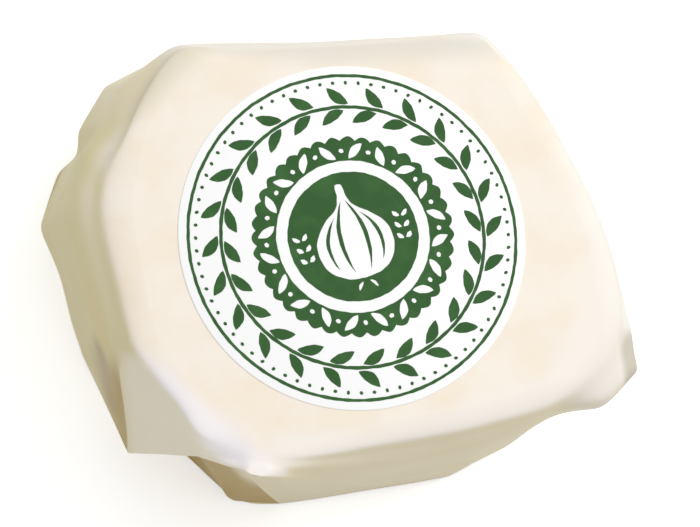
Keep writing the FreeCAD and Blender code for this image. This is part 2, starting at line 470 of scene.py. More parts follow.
# %% Folds and dents that show
LEFT_VALLEY = ((-38.0, 22.6, 34, 2.5), (-40.6, 19.6, 32, 3.5), (-41.2, 13.5, 33.5, 3.5),
               (-42.0, 7.5, 33.5, 3.5), (-43.2, 0.5, 33.5, 3.5), (-44.3, -6.5, 33, 2.5))
LEFT_SWELL = ((-43.5, 22.0, 26, 5), (-45.5, 12.0, 24, 6), (-46.0, 3.0, 24, 5))
WALL_DENT = ((-46.6, 11.0, 3, 12), (-46.6, 11.0, 26, 12))
FOOT_DENT = ((-44.5, 14.0, 0, 9), (-45.0, 12.0, 5, 9))
NOTCH_DENT = ((-38.2, 31.8, 3, 5.0), (-38.2, 31.0, 30, 5.0))
RIGHT_DENT = ((29.5, -41.5, 3, 8.0), (29.5, -42.0, 35, 8.0))
FAR_DENT = ((4.0, 38.5, 36, 6.0), (18.0, 34.5, 37, 8.0), (30.0, 31.5, 36, 5.0))
STROKES = (                                  # path, how far the paper moves out, mm
    (LEFT_VALLEY, -0.45),
    (LEFT_SWELL, 0.35),
    (WALL_DENT, -0.8),
    (FOOT_DENT, -1.8),
    (NOTCH_DENT, -1.7),
    (RIGHT_DENT, -1.0),
    (FAR_DENT, -0.2),
)
FOOT_FADE = (3, 9)                           # mm: below the first height the paper only moves level

shift = sum(depth * stroke(places, path) for path, depth in STROKES)
level = places * (1, 1, 0) / np.linalg.norm(places[:, :2], axis=1)[:, None]
up_wall = fade(places[:, 2], *FOOT_FADE)[:, None]
places += (normals * up_wall + level * (1 - up_wall)) * shift[:, None]
print("deepest dent, mm:", round(float(-shift.min()), 2))

# %% The tip of the right ear, folded down
EAR_CREASE = ((41.0, -29.4), (39.0, -39.9))
EAR_FOLD_SLOPE = 0.35                # how steeply the paper falls beyond the crease
CREASE_START = (-1, 6)               # mm along the crease: where the fold comes in
EAR_FADE = (30, 38)                  # mm: only the top of the ear is folded


def beyond_line(places, line):
    """How far each place is beyond a line in plan, on its left; it comes in softly at the line's start."""
    start, end = np.array(line)
    along = (end - start) / np.linalg.norm(end - start)
    across = (places[:, :2] - start) @ np.array((-along[1], along[0]))
    return np.clip(across, 0, None) * fade((places[:, :2] - start) @ along, *CREASE_START)


drop = EAR_FOLD_SLOPE * beyond_line(places, EAR_CREASE) * fade(places[:, 2], *EAR_FADE)
places[:, 2] -= drop
print("ear's tip folded down by, mm:", round(float(drop.max()), 2))

# %% [markdown]
# Between its folds, handled paper keeps shallow crumples about a finger's width long. Ridges in a few
# random directions, added up, give them. Butter holds the paper still on the face, and most of all under
# the label.

# %% Soft crumples
CRUMPLE_LENGTH, CRUMPLE_DEPTH = 13.0, 0.09           # mm
CRUMPLE_WAVES, CRUMPLE_SPREAD = 9, (0.7, 1.4)        # how many, and how their lengths differ
ROUNDING = 0.02                                      # keeps the bottom of a crumple from being a sharp fold
FACE_SHARE, EAR_SHARE = 0.3, 0.25                    # how much of it reaches the flat face and the loose ear
LOWEST_Z = FOOT_Z - 0.2                              # mm: the paper stays over the tucked ends' undersides
crumple_dice = np.random.default_rng(11)


def crumple(places):
    """Rounded ridges in random directions, about 1 high, 0 on average."""
    total = np.zeros(len(places))
    for _ in range(CRUMPLE_WAVES):
        way = crumple_dice.normal(size=3)
        way /= np.linalg.norm(way) * CRUMPLE_LENGTH * crumple_dice.uniform(*CRUMPLE_SPREAD) / math.pi
        total += np.sqrt(np.sin(places @ way + crumple_dice.uniform(0, math.pi)) ** 2 + ROUNDING)
    return (total - total.mean()) / math.sqrt(CRUMPLE_WAVES) * 2


from_label = np.linalg.norm(places[:, :2] - np.array(middle.xy), axis=1) - LABEL_RADIUS
on_face = fade(normals[:, 2], 0.5, 0.95)
on_ear = fade(fold_at, TIP - 1, TIP) * fade(fold_at, RIDGE_END + 1, RIDGE_END)
share = 1 - on_face * (1 - FACE_SHARE * fade(from_label, 1, 7))
share *= 1 - on_ear * (1 - EAR_SHARE)
in_gap = (ring_at < EDGE) & (ring_at > LOW) & (on_ear > 0)
share[in_gap | (ring_at < FOOT + 0.5)] = 0
places += normals * (CRUMPLE_DEPTH * share * crumple(places))[:, None]
places[:, 2] = np.clip(places[:, 2], LOWEST_Z, FACE_Z)
set_coordinates(wrap.data, places * MM)
print("wrap after sculpting, mm:", [round(x / MM, 2) for x in wrap.dimensions])

# %% [markdown]
# ## Colour helper and node helper
# Colours are written as sRGB hex, as a colour picker shows them, and one function turns them to the linear
# values that a shader works in. One small function adds a node, its settings and its links.

# %% Helpers for materials
def linear(colour):
    """sRGB hex to linear RGBA."""
    channels = [int(colour[i:i + 2], 16) / 255 for i in (1, 3, 5)]
    return (*[c / 12.92 if c <= 0.04045 else ((c + 0.055) / 1.055) ** 2.4 for c in channels], 1.0)


def node(tree, kind, settings=(), inputs=()):
    """Add a node. A setting is a property; an input is a value, or the socket that feeds it."""
    made = tree.nodes.new(kind)
    for name, value in dict(settings).items():
        setattr(made, name, value)
    for name, value in dict(inputs).items():
        if isinstance(value, bpy.types.NodeSocket):
            tree.links.new(value, made.inputs[name])
        else:
            made.inputs[name].default_value = value
    return made


def new_material(name):
    material = bpy.data.materials.new(name)
    material.use_nodes = True
    material.node_tree.nodes.clear()
    return material, material.node_tree


def finish_material(tree, shader):
    node(tree, "ShaderNodeOutputMaterial", inputs={"Surface": shader})


def mix(tree, share, one, other):
    """Colour one where share is 0 and the other where it is 1. A Mix node's colour inputs are 6 and 7."""
    return node(tree, "ShaderNodeMix", {"data_type": "RGBA"}, {0: share, 6: one, 7: other}).outputs[2]


# %% [markdown]
# ## Parchment
# Baking parchment is bleached kraft paper passed through acid and coated with silicone: dense, a little
# translucent, with a low silky gloss. Where it lies on butter it takes the butter's warm cream, and where it
# stands off it is a cool white. Down the walls, where light has crossed more layers of paper and fat, it is
# tan, and it is also darkened there as painted shade where the paper turns from level. Painted light and
# shade also lie on the ends, in the folds and along the loose ear. Painted attributes say which is where, and
# soft noise mottles them as unevenly pressed butter does.

# %% The walls, with painted shade and painted light
CREAM_CORNER = ((-33.0, 27.8, 41.0, 4.5), (-35.6, 25.0, 40.2, 4.8), (-36.8, 20.5, 41.3, 3.0))
CREAM_SHARE = 0.85                         # how much of the wall's painted shade the cream corner takes away
SOFT_FOLDS = ((19.8, 23.2), (12.8, 14.0))  # fold lines between which the painted wall shade starts slowly
LIT_WALLS = ((0.4, 5.5, 1.0), (5.5, 9.0, 0.7), (22.7, 24.0, 0.5))    # fold lines, and how much painted light between them
OLIVE_SHADE_WALL, BARE_EAR = (11.2, 14.6, 1.0), (15.3, 17.2, 0.5)           # fold lines, how softly they end
AT_ONCE, SLOWLY = (0.97, 0.47), (0.99, 0.19)    # how level the paper is where the painted wall shade starts, and is full


def paint(mesh, name, values, domain="POINT"):
    mesh.attributes.new(name, "FLOAT", domain).data.foreach_set("value", np.clip(values, 0, 1))


def span(values, start, end, soft):
    """1 between start and end, fading over the soft distance outside them."""
    return fade(values, start - soft, start) * fade(values, end + soft, end)


normals = normals_of(wrap.data)
places = coordinates(wrap.data) / MM
height = places[:, 2]
# The wall's tone, partly painted shade where the paper turns down from level, starts at once below a crisp
# fold, and slowly below a soft one.
crisp, slow = fade(normals[:, 2], *AT_ONCE), fade(normals[:, 2], *SLOWLY)
slope = crisp + (slow - crisp) * sum(span(fold_at, start, end, 0.7) for start, end in SOFT_FOLDS)
slope *= 1 - CREAM_SHARE * stroke(places, CREAM_CORNER)
paint(wrap.data, "wall", slope)
# Painted light: the walls at the right end and along the far side, which face the lamp, are made lighter.
painted_end_light = sum(strength * span(fold_at, start, end, 0.5) for start, end, strength in LIT_WALLS)
paint(wrap.data, "painted_end_light", slope * painted_end_light)
# Painted shade on the left end, which faces away from the lamp.
paint(wrap.data, "olive_shade", slope * span(fold_at, *OLIVE_SHADE_WALL))
# On the ear's panel, where no butter is behind, the paper is also lightened as painted light.
paint(wrap.data, "bare", slope * span(fold_at, *BARE_EAR) * (ring_at > EDGE - 0.5))
print("share of the paper that is wall:", round(float(slope.mean()), 2))

# %% Tones along folds and edges, with painted light and shade among them
# Whiter where the paper stands off the butter along the left shoulder, with a painted highlight where it is
# level.
LIFTED_HIGHLIGHT_EDGE = ((-41.2, -8.5, 41, 1.4), (-38.0, -16.9, 41.6, 3.0), (-34.6, -24.8, 41.5, 4.8),
               (-30.3, -31.6, 41.5, 5.2), (-26.4, -36.0, 41, 4.4), (-23.5, -37.5, 41, 2.0))
COOL_EDGE = ((45.0, 8.0, 42, 5), (44.0, -12.0, 42, 5), (41.0, -26.0, 42, 6),
             (26.0, -38.0, 42.5, 5.5), (-5.0, -38.5, 42.5, 4.5), (-22.0, -34.0, 42.5, 5))
RIGHT_EAR = ((43.0, -26.0, 42, 4), (39.0, -36.0, 41, 11), (32.0, -38.5, 41, 7))
FAR_EDGE = ((-16.0, 41.0, 41, 4), (-5.0, 38.5, 41, 5), (12.0, 33.5, 41, 4),
            (28.0, 29.5, 41, 3), (34.0, 28.0, 41, 4))
# Painted shade just inside the far edge of the face.
FAR_SHADE_PATH = ((-12.0, 38.5, 42.7, 4), (6.0, 32.5, 42.7, 6), (24.0, 28.0, 42.7, 5), (36.0, 25.0, 42.0, 5))
# Painted shade along the top left, where the face starts to turn down.
TURN_SHADE_PATH = ((-31.0, 29.5, 42.6, 3.0), (-27.0, 32.5, 42.5, 5.0),
             (-19.5, 37.3, 42.5, 6.0), (-15.5, 39.0, 42.5, 5.0))
# Painted shade down the long soft fold of the left wall.
VALLEY_SHADE_PATH = ((-40.0, 18.0, 33, 5.0), (-42.4, 7.5, 32.5, 6.0),
               (-43.6, -1.0, 32.5, 5.5), (-44.2, -7.0, 32, 3.5))
DUSK = ((-45.2, -6.5, 28, 4.0), (-45.3, -10.5, 25.5, 7.5), (-45.2, -14.0, 22, 6.0))
TURN_SHADE_SHARE, VALLEY_SHARE = 0.6, 0.45
LIFTED_LEVEL = (0.35, 0.75)                # how level the paper is where the painted highlight starts, and is full
FACET_START = (0, 1.8)                     # mm beyond the crease: where the painted shade on the folded ear comes in
FACET_HEIGHTS = (34, 38)                   # mm

on_top = 1 - slope
# Painted shade on the tip of the right ear, folded down beyond its crease.
folded_down = fade(beyond_line(places, EAR_CREASE), *FACET_START) * fade(height, *FACET_HEIGHTS)
for name, values in (
    ("turn_shade", TURN_SHADE_SHARE * stroke(places, TURN_SHADE_PATH)),
    ("far", on_top * stroke(places, FAR_SHADE_PATH)),
    ("dusk", stroke(places, DUSK)),
    ("lifted_highlight", stroke(places, LIFTED_HIGHLIGHT_EDGE) * fade(normals[:, 2], *LIFTED_LEVEL)),
    ("valley_shade", VALLEY_SHARE * stroke(places, VALLEY_SHADE_PATH)),
    ("cool", on_top * stroke(places, COOL_EDGE) + stroke(places, FAR_EDGE)),
    ("ear", on_top * stroke(places, RIGHT_EAR)),
    ("facet_shade", folded_down),
):
    paint(wrap.data, name, values)
    print(name, "is at most", round(float(values.max()), 2))

# %% [markdown]
# Brown is painted shade where paper lies deep in a fold: under the ear's free edge, beside the ear's own
# fold, and along the edge of a lower layer. It is painted on face corners instead of vertices, so that it
# stops dead at a fold.

# %% Painted shade in the folds
LAYER_EDGE = ((-39.0, 31.6, 19.0, 2.6), (-40.8, 28.4, 19.0, 2.8),
              (-42.2, 26.0, 18.7, 2.2), (-44.4, 22.9, 18.3, 1.0))
CREASE_SHARE, LAYER_SHARE = 0.75, 0.8
RIDGE_SOFT = 0.45                    # fold lines over which the painted shade fades towards the ridge
LOW_BROWN = (32, 16)                 # mm: between these heights it comes back, down to the foot
CREASE_EDGE = (14.35, 14.95)         # fold lines over which it comes in beside the ear's own fold
CREASE_HEIGHTS, CREASE_SOFT = (14, 28), 8    # mm

corner_vertex = np.empty(len(wrap.data.loops), int)
wrap.data.loops.foreach_get("vertex_index", corner_vertex)
corner_fold, corner_height = fold_at[corner_vertex], height[corner_vertex]
face_fold, face_ring = [
    values[corner_vertex].reshape(-1, 4).mean(axis=1).repeat(4) for values in (fold_at, ring_at)]

under_edge = (face_fold > TIP) & (face_fold < RIDGE) & (face_ring > FOOT) & (face_ring < LIP)
off_ridge = fade(corner_fold, RIDGE, RIDGE - RIDGE_SOFT)
under_edge = under_edge * (off_ridge + (1 - off_ridge) * fade(corner_height, *LOW_BROWN))
under_edge *= 0.95 + 0.05 * fade(corner_height, 26, 6)
beside_crease = (face_fold < TIP) & (face_fold > 12) & (face_ring > CAVITY)
beside_crease = beside_crease * fade(corner_fold, *CREASE_EDGE)
beside_crease *= span(corner_height, *CREASE_HEIGHTS, CREASE_SOFT)
lower_layer = stroke(places, LAYER_EDGE)[corner_vertex]
# All three are painted shade, on face corners.
paint(wrap.data, "brown_shade", under_edge + CREASE_SHARE * beside_crease + LAYER_SHARE * lower_layer, "CORNER")
print("brown face corners:", int((under_edge > 0.5).sum()))

# %% Parchment material
TONES = (                    # attribute, colour where it is 1: the paper's own, or painted light and shade
    ("far", "#DFDACD"),          # painted shade at the far edge, turning from the light
    ("wall", "#EDE0BE"),         # light that has crossed the wrap and the butter, and painted shade where the paper turns down
    ("painted_end_light", "#F0EDE4"),         # painted light on the walls that face the lamp, at the right end
    ("olive_shade", "#E3D8AB"),        # painted shade on the shaded left end, over two layers of paper
    ("turn_shade", "#D3CCB2"),         # painted shade where the face starts to turn down
    ("dusk", "#C4B18E"),         # in the shade beside the left ear
    ("bare", "#F7EED7"),         # loose paper with no butter behind it, also made lighter as painted light where it turns from the lamp
    ("valley_shade", "#E4D18F"),       # painted shade in a long soft fold, with butter close behind
    ("ear", "#E9E3DA"),          # loose too, but over the bright face
    ("facet_shade", "#C6C0B0"),        # painted shade on the folded-down tip of the right ear
    ("cool", "#F2ECE3"),         # just off the butter
    ("lifted_highlight", "#F6F2F6"),       # a pocket of air behind, and a painted highlight where the shoulder is level
    ("brown_shade", "#AD9145"),        # painted shade deep in a fold
)
BUTTER_CREAM, BUTTER_YELLOW = "#F4EBDE", "#F2E3CE"
MOTTLE_SIZE, FIBRE_SIZE = 9.0, 0.7               # mm
FIBRE_RELIEF = 0.03                              # mm


def parchment_material():
    material, tree = new_material("silicone_parchment")
    where = node(tree, "ShaderNodeTexCoord").outputs["Object"]
    mottle = node(tree, "ShaderNodeTexNoise", inputs={
        "Vector": where, "Scale": 1 / (MOTTLE_SIZE * MM), "Detail": 3.0}).outputs["Fac"]
    spots = node(tree, "ShaderNodeMapRange", inputs={"Value": mottle, "From Min": 0.4, "From Max": 0.75})
    colour = mix(tree, spots.outputs["Result"], linear(BUTTER_CREAM), linear(BUTTER_YELLOW))
    for name, tone in TONES:
        share = node(tree, "ShaderNodeAttribute", {"attribute_name": name}).outputs["Fac"]
        colour = mix(tree, share, colour, linear(tone))
    fibre = node(tree, "ShaderNodeTexNoise", inputs={
        "Vector": where, "Scale": 1 / (FIBRE_SIZE * MM), "Detail": 5.0}).outputs["Fac"]
    bump = node(tree, "ShaderNodeBump", inputs={
        "Height": fibre, "Strength": 0.5, "Distance": FIBRE_RELIEF * MM})
    gloss = node(tree, "ShaderNodeMapRange", inputs={"Value": mottle, "To Min": 0.48, "To Max": 0.62})
    shader = node(tree, "ShaderNodeBsdfPrincipled", inputs={
        "Base Color": colour, "Roughness": gloss.outputs["Result"], "Normal": bump.outputs["Normal"]})
    finish_material(tree, shader.outputs["BSDF"])
    return material


wrap.data.materials.append(parchment_material())
print("parchment:", len(wrap.data.materials[0].node_tree.nodes), "nodes")

# %% [markdown]
# ## Folded ends
# A parcel's ends are folded flat and tucked under it, and its long edge laps over one side. A flap is a
# patch of the wrap's own surface, copied, cut straight along its folds, stood off a little towards its free
# edge and given the thickness of paper. The tucked ends are flat sheets under the pack; their corners are
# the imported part's own.

# %% Flaps on the hidden sides
FLAP_PAPER = 0.25                        # mm
FLAP_GAP, FLAP_STAND_OFF = 0.25, 0.3     # mm: off the wrap everywhere, and more at the top edge
SHARP_TURN = math.radians(40)            # edges that turn more than this are shaded sharp
FLAPS = (                            # name, then each straight cut: a place on it and the way out of the flap
    ("right_end_flap", (
        ((36, 0, 0), (-1, 0, 0)), ((0, 0, 1.2), (0, 0, -1)), ((0, -8, 29), (0, 0.06, 1)),
        ((0, -24, 0), (0, -1, 0.3)), ((0, 9, 0), (0, 1, 0.36)),
    )),
    ("far_side_flap", (
        ((0, 20, 0), (0, -1, 0)), ((0, 0, 1.2), (0, 0, -1)), ((8, 0, 20), (0.06, 0, 1)),
        ((-16, 0, 0), (-1, 0, 0.35)), ((29, 0, 0), (1, 0, 0.3)),
    )),
)


def build_flap(name, cuts):
    only(wrap)
    bpy.ops.object.duplicate()
    flap = bpy.context.object
    flap.name = flap.data.name = name
    bpy.ops.object.mode_set(mode="EDIT")
    for place, way_out in cuts:
        bpy.ops.mesh.select_all(action="SELECT")
        bpy.ops.mesh.bisect(
            plane_co=Vector(place) * MM, plane_no=Vector(way_out).normalized(), clear_outer=True)
    bpy.ops.object.mode_set(mode="OBJECT")
    places, normals = coordinates(flap.data), normals_of(flap.data)
    rise = places[:, 2] / places[:, 2].max()
    places += normals * ((FLAP_GAP + FLAP_STAND_OFF * rise ** 2) * MM)[:, None]
    set_coordinates(flap.data, places)
    bpy.ops.object.modifier_add(type="SOLIDIFY")
    paper = flap.modifiers[-1]
    paper.thickness, paper.offset = FLAP_PAPER * MM, 1.0
    bpy.ops.object.modifier_apply(modifier=paper.name)
    bpy.ops.object.shade_smooth_by_angle(angle=SHARP_TURN)
    print(name, len(flap.data.polygons), "faces")
    return flap


flaps = [build_flap(name, cuts) for name, cuts in FLAPS]

# %% Ends tucked under the pack
TUCK_BEVEL = 0.25                    # mm


def tuck_corners():
    """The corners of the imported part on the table, as two outlines, each round its own middle."""
    corners = set()
    for face in PACK.data.polygons:
        places = [PACK.data.vertices[i].co for i in face.vertices]
        if max(p.z for p in places) < SAME_PLACE * MM:
            corners.update((round(p.x / MM, 3), round(p.y / MM, 3)) for p in places)
    outlines = []
    for side in (-1, 1):
        outline = [Vector(p) for p in sorted(corners) if p[0] * side > 0]
        centre = sum(outline, Vector((0, 0))) / len(outline)
        outlines.append(sorted(outline, key=lambda p: math.atan2(p.y - centre.y, p.x - centre.x)))
    return outlines


def build_tuck(name, outline):
    bpy.ops.object.select_all(action="DESELECT")
    bpy.ops.mesh.primitive_circle_add(vertices=len(outline), radius=1, fill_type="NGON")
    tuck = bpy.context.object
    tuck.name = tuck.data.name = name
    set_coordinates(tuck.data, np.array([(p.x, p.y, 0) for p in outline]) * MM)
    bpy.ops.object.mode_set(mode="EDIT")
    bpy.ops.mesh.select_all(action="SELECT")
    bpy.ops.mesh.extrude_region_move(TRANSFORM_OT_translate={"value": (0, 0, FOOT_Z * MM)})
    bpy.ops.mesh.select_all(action="SELECT")
    bpy.ops.mesh.normals_make_consistent(inside=False)
    bpy.ops.mesh.bevel(offset=TUCK_BEVEL * MM, segments=3, affect="EDGES")
    bpy.ops.object.mode_set(mode="OBJECT")
    tuck.data.materials.append(wrap.data.materials[0])
    print(name, [tuple(round(x, 1) for x in p) for p in outline])
    return tuck


tucks = [build_tuck(name, outline) for name, outline in zip(("left_tuck", "right_tuck"), tuck_corners())]

# %% Ride on the body
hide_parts("wrapped_butter")
for piece in [wrap] + flaps + tucks:
    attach(piece, "root")

# %% [markdown]
# ## Round label
# The label is die-cut from coated white paper and stuck to the face by hand. It is a disc with its rim a
# little rolled by the die.

# %% Label
LABEL_THICKNESS = LABEL_HIGH.z - LABEL_LOW.z
DIE_ROLL = 0.15                      # mm: rounding that the die leaves at the rim
LABEL_SIDES = 192


def select_faces(thing, keep):
    """Go into edit mode with the faces selected that pass the test."""
    only(thing)
    bpy.ops.object.mode_set(mode="EDIT")
    bpy.ops.mesh.select_mode(type="FACE")
    bpy.ops.mesh.select_all(action="DESELECT")
    bpy.ops.object.mode_set(mode="OBJECT")
    for face in thing.data.polygons:
        face.select = keep(face)
    bpy.ops.object.mode_set(mode="EDIT")


def apply_place(thing):
    only(thing)
    bpy.ops.object.transform_apply(location=True, rotation=True, scale=True)


def build_label():
    bpy.ops.object.select_all(action="DESELECT")
    bpy.ops.mesh.primitive_cylinder_add(
        vertices=LABEL_SIDES, radius=LABEL_RADIUS * MM, depth=LABEL_THICKNESS * MM, location=LABEL_PLACE * MM)
    label = bpy.context.object
    label.name = "paper_label"
    apply_place(label)
    select_faces(label, lambda face: face.normal.z > 0.5)
    bpy.ops.mesh.bevel(offset=DIE_ROLL * MM, segments=3, affect="EDGES")
    bpy.ops.object.mode_set(mode="OBJECT")
    bpy.ops.object.shade_smooth_by_angle(angle=SHARP_TURN)
    return label


label = build_label()
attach(label, "root")
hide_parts("round_label")
print("label:", round(label.dimensions.x / MM, 2), "mm across,", len(label.data.polygons), "faces")

# %% [markdown]
# ## The print
# One green ink, printed flat from a hand-cut block, so its outlines waver by a fraction of a tenth of a
# millimetre. The design goes round the label in rings: a garlic bulb on a green roundel, a scalloped band
# with leaves left white, a herb wreath, a row of dots and a line. Every shape is a closed loop; a loop
# inside another is a hole in it.

# %% A hand-cut line, discs and rings
WAVER = 0.07                         # mm: how far the cut line strays
waver_dice = np.random.default_rng(7)


def wavering(points):
    """Move a closed loop in and out a little, as a hand-cut line does."""
    points = np.array(points)
    turn = np.linspace(0, math.tau, len(points), endpoint=False)
    length = np.linalg.norm(points - np.roll(points, 1, axis=0), axis=1).sum()
    waves = max(2, round(length / 4))
    counts = (waves // 2 + 1, waves, waves * 2 + 1)
    stray = sum(np.sin(turn * k + waver_dice.uniform(0, math.tau)) for k in counts) / len(counts)
    along = np.roll(points, -1, axis=0) - np.roll(points, 1, axis=0)
    outward = np.column_stack((along[:, 1], -along[:, 0])) / np.linalg.norm(along, axis=1)[:, None]
    return points + outward * (stray * WAVER)[:, None]


def disc(x, y, radius, steps):
    turn = np.linspace(0, math.tau, steps, endpoint=False)
    return wavering(np.column_stack((x + radius * np.cos(turn), y + radius * np.sin(turn))))


def line_ring(radius, width):
    return [disc(0, 0, radius + side * width / 2, 360) for side in (1, -1)]


def scalloped(radius, depth, scallops, steps=720):
    turn = np.linspace(0, math.tau, steps, endpoint=False)
    reach = radius + depth * abs(np.sin(turn * scallops / 2))
    return wavering(np.column_stack((reach * np.cos(turn), reach * np.sin(turn))))


# %% Leaves and the bulb's outline
def blade(start, end, width, bend=0.0, steps=12):
    """A pointed leaf from start to end; bend curves it to the left, as a share of its length."""
    start, end = np.array(start), np.array(end)
    along = end - start
    left = np.array((-along[1], along[0]))
    share = np.linspace(0, 1, steps + 1)[:, None]
    spine = start + along * share + left * bend * 4 * share * (1 - share)
    half = left / np.linalg.norm(along) * width / 2 * np.sin(math.pi * share) ** 0.8
    return wavering(np.vstack((spine - half, (spine + half)[-2:0:-1])))


def rounded(points, steps=5):
    """A smooth closed loop through given corners (Catmull-Rom)."""
    points = np.array(points, float)
    before, after = np.roll(points, 1, axis=0), np.roll(points, -1, axis=0)
    beyond = np.roll(points, -2, axis=0)
    slope_part = after - before
    square_part = 2 * before - 5 * points + 4 * after - beyond
    cube_part = 3 * points - before - 3 * after + beyond
    parts = [0.5 * (2 * points + slope_part * t + square_part * t ** 2 + cube_part * t ** 3)
             for t in np.linspace(0, 1, steps, endpoint=False)]
    return wavering(np.stack(parts, axis=1).reshape(-1, 2))


def mirrored(points):
    return [(-x, y) for x, y in reversed(points)]


def polar(radius, turn):
    return radius * math.cos(turn), radius * math.sin(turn)


# %% Sizes of the design, mm
ROUNDEL_RADIUS = 11.6
BULB_SIDE = [(0.6, 9.4), (0.8, 7.4), (1.7, 5.4), (4.3, 3.4), (6.5, 0.6),
             (6.8, -2.6), (5.6, -5.4), (3.1, -7.1), (0.8, -7.5)]
BULB_LINES = (               # start, end, width and bend of each line on the bulb's right half
    ((0.4, 6.6), (1.4, -6.3), 0.75, 0.11),
    ((2.3, 4.0), (4.0, -5.2), 0.65, 0.17),
    ((0.6, -8.2), (1.7, -9.6), 0.6, 0.1),
)
SPRIG_X, SPRIG_Y, SPRIG_LENGTH, SPRIG_PAIRS = 8.8, -3.7, 6.0, 3
SPRIG_TURN, SPRIG_LEAF_TURN = math.radians(4), math.radians(48)
SPRIG_LEAF_ENDS, SPRIG_LEAF_WIDTH = (0.25, 1.75), 0.8
BAND_INNER, BAND_OUTER, SCALLOP, SCALLOPS = 13.6, 17.2, 0.75, 40
BAND_LEAVES, BAND_LEAF_LENGTH, BAND_LEAF_WIDTH, BAND_LEAF_LEAN = 20, 2.9, 1.5, 0.075
BAND_DOT_RADIUS = 0.42
STEM_RADIUS, STEM_WIDTH = 23.3, 0.6
LEAF_PAIRS, LEAF_LENGTH, LEAF_WIDTH, LEAF_LEAN = 24, 4.7, 1.9, math.radians(36)
LEAF_GAP, INNER_LEAF_TURN = 0.3, 0.04
DOTS, DOT_RING, DOT_RADIUS = 76, 27.7, 0.32
LINE_RADIUS, LINE_WIDTH = 29.0, 0.55

# %% The design, from the middle out
def step_from(place, heading, length):
    return place[0] + length * math.cos(heading), place[1] + length * math.sin(heading)


def garlic():
    shapes = [rounded(BULB_SIDE + mirrored(BULB_SIDE))]
    for side in (1, -1):
        for start, end, width, bend in BULB_LINES:
            shapes.append(blade((side * start[0], start[1]), (side * end[0], end[1]), width, side * bend))
    return shapes


def sprig(x, y, heading):
    """White leaves either side of a bare stem, on the roundel."""
    shapes = []
    for i in range(SPRIG_PAIRS):
        leaf_foot = step_from((x, y), heading, (i + 0.5) / SPRIG_PAIRS * SPRIG_LENGTH)
        for side in (1, -1):
            lean = heading + side * SPRIG_LEAF_TURN
            ends = [step_from(leaf_foot, lean, length) for length in SPRIG_LEAF_ENDS]
            shapes.append(blade(*ends, SPRIG_LEAF_WIDTH, side * 0.08))
    return shapes


def band():
    shapes = [scalloped(BAND_OUTER, SCALLOP, SCALLOPS), disc(0, 0, BAND_INNER, 300)]
    centre = (BAND_INNER + BAND_OUTER) / 2
    for i in range(BAND_LEAVES):
        turn = i / BAND_LEAVES * math.tau
        lean = BAND_LEAF_LEAN if i % 2 else -BAND_LEAF_LEAN
        leaf_foot = polar(centre - BAND_LEAF_LENGTH / 2, turn - lean)
        leaf_tip = polar(centre + BAND_LEAF_LENGTH / 2, turn + lean)
        shapes.append(blade(leaf_foot, leaf_tip, BAND_LEAF_WIDTH, 0.05))
        shapes.append(disc(*polar(centre, turn + math.pi / BAND_LEAVES), BAND_DOT_RADIUS, 14))
    return shapes


def wreath():
    shapes = line_ring(STEM_RADIUS, STEM_WIDTH)
    for i in range(LEAF_PAIRS):
        turn = i / LEAF_PAIRS * math.tau
        for side in (1, -1):
            foot_radius = STEM_RADIUS + side * (STEM_WIDTH / 2 + LEAF_GAP)
            heading = turn + math.pi / 2 - side * LEAF_LEAN
            leaf_foot = polar(foot_radius, turn + (INNER_LEAF_TURN if side < 0 else 0))
            leaf_tip = step_from(leaf_foot, heading, LEAF_LENGTH)
            shapes.append(blade(leaf_foot, leaf_tip, LEAF_WIDTH, side * 0.07))
    return shapes


shapes = [disc(0, 0, ROUNDEL_RADIUS, 240)] + garlic()
for side in (1, -1):
    shapes += sprig(side * SPRIG_X, SPRIG_Y, math.pi / 2 - side * SPRIG_TURN)
shapes += band() + wreath() + line_ring(LINE_RADIUS, LINE_WIDTH)
shapes += [disc(*polar(DOT_RING, i / DOTS * math.tau), DOT_RADIUS, 12) for i in range(DOTS)]
print("print:", len(shapes), "outlines")

# %% [markdown]
# The outlines go into one flat curve, because filling a flat curve also leaves the holes open. It is given
# the thickness of a layer of ink, made a mesh, and only then put in its place.

# %% The print as a thin plate of ink
INK_THICKNESS = 0.04                 # mm
PRINT_TURN = math.radians(-1)        # the label is stuck on a little askew


def build_print(shapes):
    outline = bpy.data.curves.new("label_print", "CURVE")
    outline.dimensions = "2D"
    outline.fill_mode = "BOTH"
    outline.extrude = INK_THICKNESS / 2
    for points in shapes:
        spline = outline.splines.new("POLY")
        spline.points.add(len(points) - 1)
        z, weight = np.zeros(len(points)), np.ones(len(points))
        spline.points.foreach_set("co", np.column_stack((points, z, weight)).ravel())
        spline.use_cyclic_u = True
    ink = bpy.data.objects.new("label_print", outline)
    bpy.context.collection.objects.link(ink)
    only(ink)
    bpy.ops.object.convert(target="MESH")
    ink = bpy.context.object
    place = at_height(LABEL_PLACE, LABEL_HIGH.z + INK_THICKNESS / 2) * MM
    ink.matrix_world = (
        Matrix.Translation(place) @ Matrix.Rotation(PRINT_TURN, 4, "Z") @ Matrix.Scale(MM, 4))
    apply_place(ink)
    bpy.ops.object.mode_set(mode="EDIT")
    bpy.ops.mesh.select_all(action="SELECT")
    bpy.ops.mesh.remove_doubles(threshold=1e-7)
    bpy.ops.mesh.normals_make_consistent(inside=False)
    bpy.ops.object.mode_set(mode="OBJECT")
    return ink


ink = build_print(shapes)
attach(ink, "root")
inked = sum(face.area for face in ink.data.polygons if face.normal.z > 0.5) / MM ** 2
label_area = math.pi * LABEL_RADIUS ** 2
print("ink covers", round(100 * inked / label_area), "% of the label,", len(ink.data.polygons), "faces")

# %% [markdown]
# ## Label paper and ink
# Coated label stock has a smooth layer of clay over its fibres, so it is whiter and a little glossier than
# parchment, and its fibres hardly show. The ink is a matt green. It lies a little thinner where the block
# pressed less, and the white shows through there.

